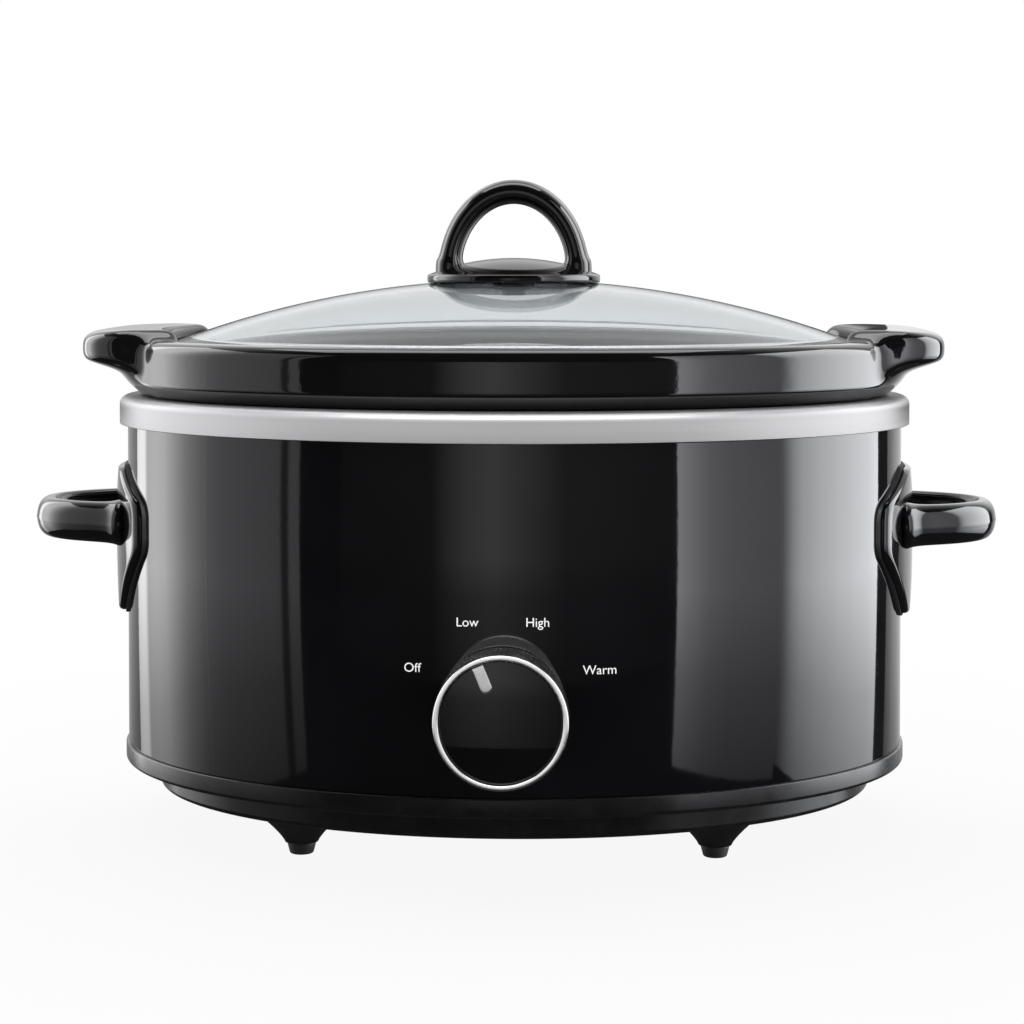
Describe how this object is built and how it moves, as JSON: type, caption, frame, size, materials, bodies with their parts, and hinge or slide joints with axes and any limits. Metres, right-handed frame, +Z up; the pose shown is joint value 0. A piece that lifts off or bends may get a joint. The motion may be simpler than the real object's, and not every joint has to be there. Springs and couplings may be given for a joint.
{
  "type": "slow cooker",
  "caption": "Oval slow cooker: black painted shell on a stepped base, lift-out glazed stoneware crock, domed glass lid with an arched handle, loop side handles and a front selector knob.",
  "frame": {"origin": "middle of the whole object's footprint, on the plane the four feet stand on", "axes": "+X along the oval towards the right-hand side handle, -Y towards the front with the knob, +Z up"},
  "size_m": [0.367, 0.2494, 0.243],
  "materials": {
    "shell_paint": "gloss black enamel",
    "base_plastic": "satin black moulded",
    "foot_rubber": "matt",
    "well_aluminium": "satin, drawn sheet",
    "heater_ribbon": "silicone-coated glass ribbon",
    "zinc_steel": "zinc plated",
    "shield_sheet": "bright sheet",
    "brass_tab": "tin-washed",
    "handle_plastic": "gloss black",
    "gasket_silicone": "matt",
    "switch_plastic": "moulded",
    "knob_black": "gloss black",
    "knob_chrome": "bright plated",
    "pointer_silver": "satin",
    "lead_sleeve": "glass-fibre sleeved",
    "block_nylon": "moulded",
    "crock_glaze": "gloss black glaze",
    "lid_glass": "clear tempered"
  },
  "bodies": {
    "base_unit": {"base_pan": "base_plastic", "rubber_feet": "foot_rubber", "outer_shell": "shell_paint", "heating_well": "well_aluminium", "heating_band": "heater_ribbon", "heater_strap": "zinc_steel", "heater_strap_screw": "zinc_steel", "heater_tabs": "brass_tab", "well_bracket": "zinc_steel", "centre_stud": "zinc_steel", "stud_spacers": "zinc_steel", "heat_shield": "shield_sheet", "centre_washer": "zinc_steel", "centre_nut": "zinc_steel", "cord_gland": "base_plastic", "handle_right": "handle_plastic", "handle_left": "handle_plastic", "handle_gaskets": "gasket_silicone", "handle_backing_plates": "zinc_steel", "handle_screws": "zinc_steel", "switch_housing": "switch_plastic", "switch_cover": "switch_plastic", "switch_blades": "brass_tab", "switch_washer": "zinc_steel", "switch_nut": "zinc_steel", "wire_connectors": "brass_tab", "lead_warm": "lead_sleeve", "lead_high": "lead_sleeve", "lead_low": "lead_sleeve", "lead_line": "lead_sleeve", "lead_return": "lead_sleeve", "lead_fuse": "lead_sleeve", "thermal_fuse": "zinc_steel", "fuse_clip": "zinc_steel", "terminal_block": "block_nylon", "terminal_screws": "brass_tab"},
    "control_knob": {"switch_shaft": "switch_plastic", "knob_core": "knob_black", "knob_ring": "knob_chrome", "knob_face": "knob_black", "knob_pointer": "pointer_silver", "knob_clip": "zinc_steel"},
    "crock": {"stoneware_crock": "crock_glaze"},
    "lid": {"lid_glass": "lid_glass", "lid_handle": "handle_plastic", "lid_handle_seal": "gasket_silicone", "lid_washer_silicone": "gasket_silicone", "lid_washer_steel": "zinc_steel", "lid_screw": "zinc_steel"}
  },
  "joints": [
    {"name": "knob_turn", "type": "hinge", "parent": "base_unit", "child": "control_knob", "pos_m": [0, -0.1049, 0.0603], "axis": [0, 1, 0], "range_deg": [-45, 90]},
    {"name": "crock_lift", "type": "slide", "parent": "base_unit", "child": "crock", "axis": [0, 0, 1], "range_m": [0, 0.14]},
    {"name": "lid_lift", "type": "slide", "parent": "crock", "child": "lid", "axis": [0, 0, 1], "range_m": [0, 0.1]}
  ]
}
